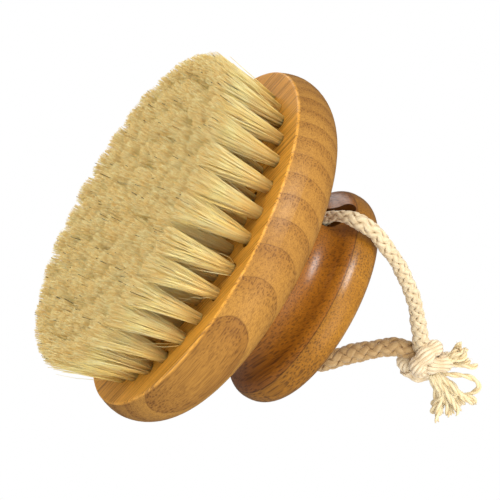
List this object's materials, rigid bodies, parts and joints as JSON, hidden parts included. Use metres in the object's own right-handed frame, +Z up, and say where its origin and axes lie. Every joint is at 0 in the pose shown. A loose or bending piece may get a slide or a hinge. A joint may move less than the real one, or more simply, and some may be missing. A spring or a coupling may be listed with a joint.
{
  "type": "body dry brush",
  "caption": "Round turned bamboo body brush with a waisted palm knob, natural bristle tufts in rings and a knotted cotton hanging cord through the knob.",
  "frame": {"origin": "centre of the plane of the bristle tips, on the brush's axis", "axes": "+Z up through the head and the knob; +X along the cord hole through the knob"},
  "size_m": [0.115, 0.115, 0.1297],
  "materials": {
    "bamboo": "satin lacquer over laminated bamboo strips",
    "bristle": "natural cream bristle, slightly glossy",
    "staple_wire": "flat drawn wire",
    "cotton": "undyed braided cotton"
  },
  "bodies": {
    "brush": {"head": "bamboo", "knob_base": "bamboo", "knob_crown": "bamboo", "dowel": "bamboo", "tufts_1": "bristle", "tufts_2": "bristle", "tufts_3": "bristle", "tufts_4": "bristle", "tufts_5": "bristle", "tufts_6": "bristle", "anchors_1": "staple_wire", "anchors_2": "staple_wire", "anchors_3": "staple_wire", "anchors_4": "staple_wire", "anchors_5": "staple_wire", "anchors_6": "staple_wire"},
    "loop": {"cord_loop": "cotton", "cord_knot": "cotton", "cord_tail_short": "cotton", "cord_tail_long": "cotton"}
  },
  "joints": [
    {"name": "cord_loop_swing", "type": "hinge", "parent": "brush", "child": "loop", "pos_m": [0, 0, 0.055], "axis": [1, 0, 0], "range_deg": [-10, 45]}
  ]
}
